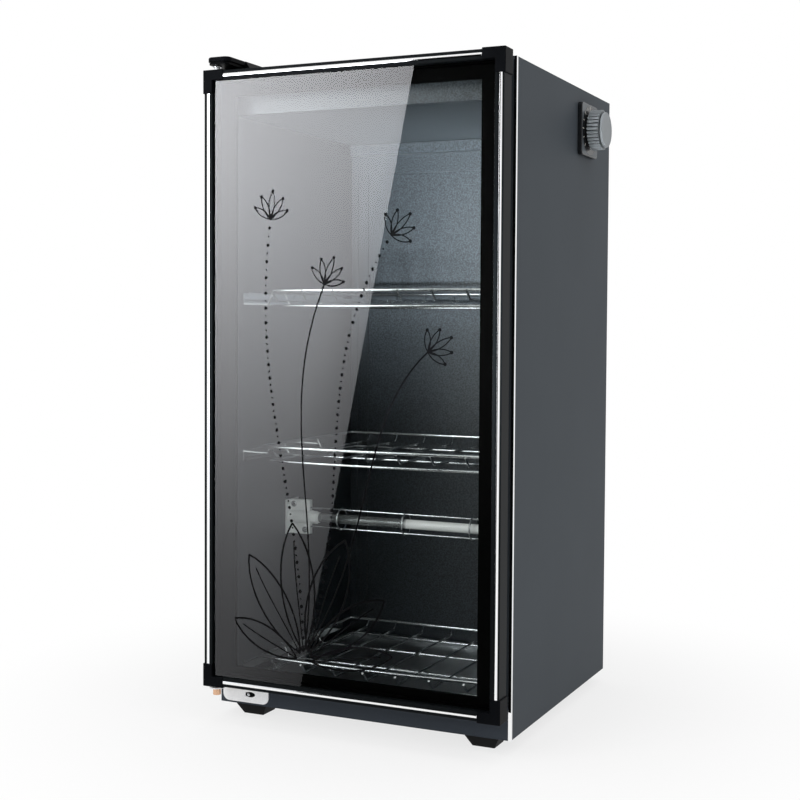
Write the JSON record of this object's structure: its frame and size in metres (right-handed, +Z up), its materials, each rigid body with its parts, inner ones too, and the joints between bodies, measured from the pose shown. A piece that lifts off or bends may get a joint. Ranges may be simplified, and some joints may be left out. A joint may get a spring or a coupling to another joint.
{
  "type": "dish sterilizer cabinet",
  "caption": "Upright countertop cabinet that dries and heats dishes: glass door hung on the left, wire racks, tube heater and a rotary timer on its right side.",
  "frame": {"origin": "under the middle of the whole object, on the plane that its feet stand on", "axes": "+Z up, -Y towards the door (front), +X to the viewer's right, where the timer is"},
  "size_m": [0.3786, 0.3798, 0.7325],
  "materials": {
    "bezel_black": "gloss dark plastic",
    "border_black": "gloss black",
    "bright_trim": "bright polished",
    "chrome_wire": "chrome plated wire",
    "corner_black": "moulded black plastic",
    "dark_paint": "satin powder coat, dark grey",
    "door_pane": "clear toughened glass",
    "foot_black": "moulded black",
    "frame_black": "satin black extrusion",
    "gasket_grey": "soft extruded seal",
    "gland_black": "moulded nylon",
    "grey_paint": "satin powder coat, dark slate grey",
    "hinge_black": "black painted steel",
    "hinge_zinc": "zinc plated steel",
    "holder_ceramic": "moulded steatite",
    "knob_grey": "satin grey plastic",
    "liner_sheet": "hammered dark coated sheet",
    "nylon": "natural nylon",
    "pin_brass": "turned brass",
    "pin_steel": "turned steel",
    "quartz": "milky quartz glass",
    "rear_paint": "matt powder coat",
    "screw_steel": "zinc plated",
    "terminal_white": "moulded plastic",
    "tray_steel": "stainless sheet"
  },
  "bodies": {
    "cabinet": {"back_panel": "rear_paint", "back_screws": "screw_steel", "bottom_panel": "dark_paint", "cord_gland": "gland_black", "drip_tray": "tray_steel", "edge_trim_left": "bright_trim", "edge_trim_right": "bright_trim", "foot_front_left": "foot_black", "foot_front_right": "foot_black", "foot_rear_left": "foot_black", "foot_rear_right": "foot_black", "foot_screws": "screw_steel", "front_rail_top": "dark_paint", "heater_guard": "chrome_wire", "heater_tube": "quartz", "hinge_arm_upper": "hinge_black", "hinge_cover_upper": "corner_black", "hinge_pin_lower": "pin_brass", "hinge_pin_upper": "pin_steel", "hinge_plate_lower": "hinge_zinc", "hinge_screws": "screw_steel", "holder_angles": "hinge_zinc", "holder_screws": "screw_steel", "liner_back": "liner_sheet", "liner_ceiling": "liner_sheet", "liner_floor": "liner_sheet", "liner_left": "liner_sheet", "liner_right": "liner_sheet", "plinth_front": "dark_paint", "rack_rails_left": "bright_trim", "rack_rails_right": "bright_trim", "side_panel_left": "grey_paint", "side_panel_right": "grey_paint", "terminal_block": "terminal_white", "thermostat": "pin_steel", "timer_bezel": "bezel_black", "timer_case": "terminal_white", "top_panel": "grey_paint", "tube_collars": "holder_ceramic", "tube_holder_left": "holder_ceramic", "tube_holder_right": "holder_ceramic"},
    "door": {"door_corner_lower_left": "corner_black", "door_corner_lower_right": "corner_black", "door_corner_upper_left": "corner_black", "door_corner_upper_right": "corner_black", "door_gasket": "gasket_grey", "door_glass": "door_pane", "door_inlay": "bright_trim", "door_inner_frame": "border_black", "door_profile_bottom": "frame_black", "door_profile_left": "frame_black", "door_profile_right": "frame_black", "door_profile_top": "frame_black", "hinge_bushes": "nylon"},
    "timer_knob": {"timer_knob": "knob_grey", "timer_shaft": "pin_steel"},
    "rack_upper": {"rack_upper": "chrome_wire"},
    "rack_middle": {"rack_middle": "chrome_wire"},
    "rack_lower": {"rack_lower": "chrome_wire"}
  },
  "joints": [
    {"name": "door_hinge", "type": "hinge", "parent": "cabinet", "child": "door", "pos_m": [-0.1787, -0.1751, 0.042], "axis": [0, 0, -1], "range_deg": [0, 110]},
    {"name": "timer_turn", "type": "hinge", "parent": "cabinet", "child": "timer_knob", "pos_m": [0.1633, 0.0769, 0.669], "axis": [-1, 0, 0], "range_deg": [0, 300]},
    {"name": "rack_upper_slide", "type": "slide", "parent": "cabinet", "child": "rack_upper", "axis": [0, -1, 0], "range_m": [0, 0.02]},
    {"name": "rack_middle_slide", "type": "slide", "parent": "cabinet", "child": "rack_middle", "axis": [0, -1, 0], "range_m": [0, 0.02]},
    {"name": "rack_lower_lift", "type": "slide", "parent": "cabinet", "child": "rack_lower", "axis": [0, 0, 1], "range_m": [0, 0.08]}
  ]
}
